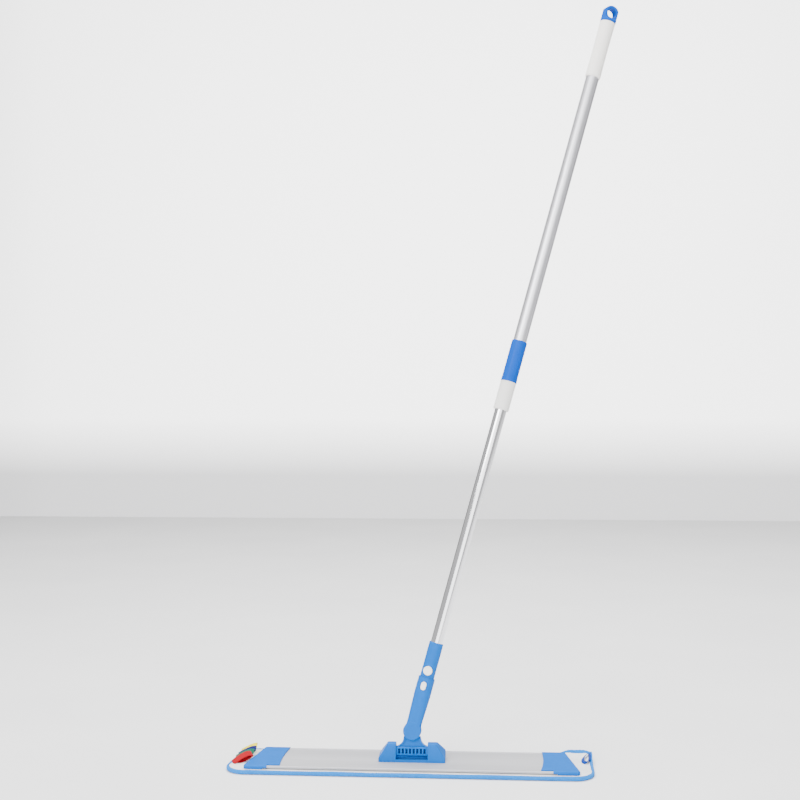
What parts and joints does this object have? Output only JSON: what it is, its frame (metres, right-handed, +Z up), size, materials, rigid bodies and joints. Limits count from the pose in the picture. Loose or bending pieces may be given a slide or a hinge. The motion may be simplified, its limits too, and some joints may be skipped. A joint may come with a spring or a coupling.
{
  "type": "flat mop",
  "caption": "Flat floor mop: bound microfibre pad under a trapezoid aluminium frame, two-way swivel, telescopic pole with twist collar, grip and hanging eye.",
  "frame": {"origin": "on the floor, under the middle of the mop head", "axes": "+X along the head towards its right end, +Y away from the side the pole's buttons face, +Z up"},
  "size_m": [0.7185, 0.3215, 1.409],
  "materials": {
    "pile": "looped microfibre pile",
    "fleece": "short brushed fleece",
    "binding": "woven binding tape",
    "ribbon_blue": "woven ribbon",
    "ribbon_yellow": "woven ribbon",
    "ribbon_navy": "woven ribbon",
    "ribbon_green": "woven ribbon",
    "ribbon_red": "woven ribbon",
    "plate_aluminium": "satin anodised",
    "head_plastic": "semi-gloss moulded",
    "hook_tape": "hook tape",
    "screw_steel": "zinc plated",
    "pin_steel": "plain",
    "spring_steel": "drawn wire",
    "button_plastic": "semi-gloss moulded",
    "tube_polished": "polished",
    "tube_satin": "satin anodised",
    "nylon": "natural nylon",
    "collar_plastic": "semi-gloss moulded",
    "sleeve_plastic": "semi-gloss moulded",
    "grip_plastic": "soft matt"
  },
  "bodies": {
    "pad": {"pad_pile": "pile", "pad_backing": "fleece", "pad_binding": "binding", "hanging_loop": "ribbon_blue", "tag_yellow": "ribbon_yellow", "tag_navy": "ribbon_navy", "tag_green": "ribbon_green", "tag_red": "ribbon_red"},
    "frame": {"plate": "plate_aluminium", "end_cap_left": "head_plastic", "end_cap_right": "head_plastic", "end_cap_screws": "screw_steel", "hook_strip_front": "hook_tape", "hook_strip_back": "hook_tape", "base_bracket": "head_plastic", "bracket_screws": "screw_steel"},
    "yoke": {"yoke": "head_plastic"},
    "lower_pole": {"socket": "head_plastic", "swivel_pin": "pin_steel", "adapter": "head_plastic", "release_spring": "spring_steel", "snap_spring": "spring_steel", "lower_tube": "tube_polished", "guide_bush": "nylon"},
    "release_button": {"release_button": "button_plastic"},
    "snap_button": {"snap_button": "button_plastic"},
    "upper_pole": {"collet": "nylon", "lock_sleeve": "sleeve_plastic", "upper_tube": "tube_satin", "grip": "grip_plastic", "hook_cap": "sleeve_plastic"},
    "lock_collar": {"lock_collar": "collar_plastic"}
  },
  "joints": [
    {"name": "pad_release", "type": "slide", "parent": "pad", "child": "frame", "axis": [0, 0, 1], "range_m": [0, 0.06]},
    {"name": "yoke_tilt", "type": "hinge", "parent": "frame", "child": "yoke", "pos_m": [0, 0, 0.0285], "axis": [1, 0, 0], "range_deg": [-75, 95]},
    {"name": "pole_swing", "type": "hinge", "parent": "yoke", "child": "lower_pole", "pos_m": [0, 0.00616, 0.06342], "axis": [0, 0.9848, -0.1736], "range_deg": [-95, 64]},
    {"name": "release_press", "type": "slide", "parent": "lower_pole", "child": "release_button", "axis": [0.1092, 0.9733, -0.2019], "range_m": [0, 0.003], "stiffness_N_per_m": 600, "springref_m": -0.002, "deforming": ["release_spring"]},
    {"name": "snap_press", "type": "slide", "parent": "lower_pole", "child": "snap_button", "axis": [0.1092, 0.9733, -0.2019], "range_m": [0, 0.003], "stiffness_N_per_m": 600, "springref_m": -0.002, "deforming": ["snap_spring"]},
    {"name": "telescope", "type": "slide", "parent": "lower_pole", "child": "upper_pole", "axis": [0.2639, 0.1675, 0.9499], "range_m": [-0.438, 0.072]},
    {"name": "collar_twist", "type": "hinge", "parent": "upper_pole", "child": "lock_collar", "pos_m": [0.16703, 0.11218, 0.66471], "axis": [-0.2639, -0.1675, -0.9499], "range_deg": [0, 90]}
  ]
}
